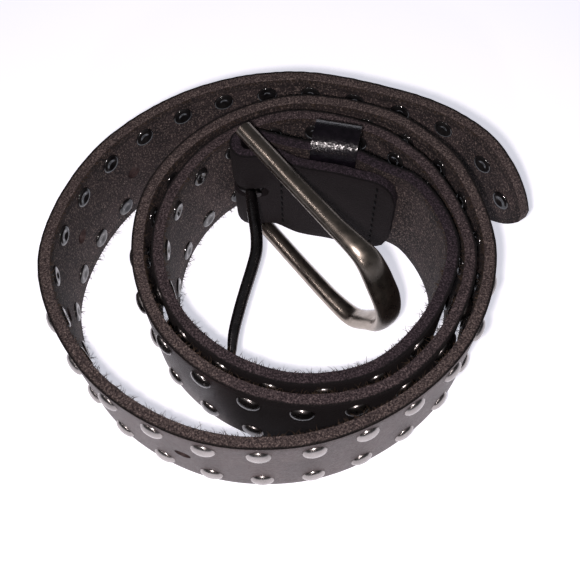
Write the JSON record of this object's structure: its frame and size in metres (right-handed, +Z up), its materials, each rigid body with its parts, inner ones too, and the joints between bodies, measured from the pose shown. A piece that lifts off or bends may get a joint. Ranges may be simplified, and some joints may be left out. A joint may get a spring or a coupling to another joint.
{
  "type": "studded leather belt",
  "caption": "Coiled strap with two rows of domed rivets, a pointed tail, a keeper loop and a swinging frame buckle with a prong.",
  "frame": {"origin": "centre of the coil's outer box, on the floor that the strap's edge stands on", "axes": "+Z up out of the coil, +X to the side the tail ends on, +Y to the far side of the pictured view"},
  "size_m": [0.1474, 0.1244, 0.0499],
  "materials": {
    "strap_leather": "satin grain side and rough flesh side",
    "keeper_leather": "glossy pebbled",
    "buckle_metal": "polished gunmetal",
    "prong_metal": "dark satin"
  },
  "bodies": {
    "belt_strap": {"strap": "strap_leather", "keeper": "keeper_leather"},
    "frame": {"buckle_frame": "buckle_metal"},
    "prong": {"prong": "prong_metal"}
  },
  "joints": [
    {"name": "frame_swing", "type": "hinge", "parent": "belt_strap", "child": "frame", "pos_m": [-0.0128, 0.0304, 0.025], "axis": [0, 0, 1], "range_deg": [-15, 6]},
    {"name": "prong_swing", "type": "hinge", "parent": "belt_strap", "child": "prong", "pos_m": [-0.0128, 0.0304, 0.0238], "axis": [0, 0, 1], "range_deg": [-2, 15]}
  ]
}
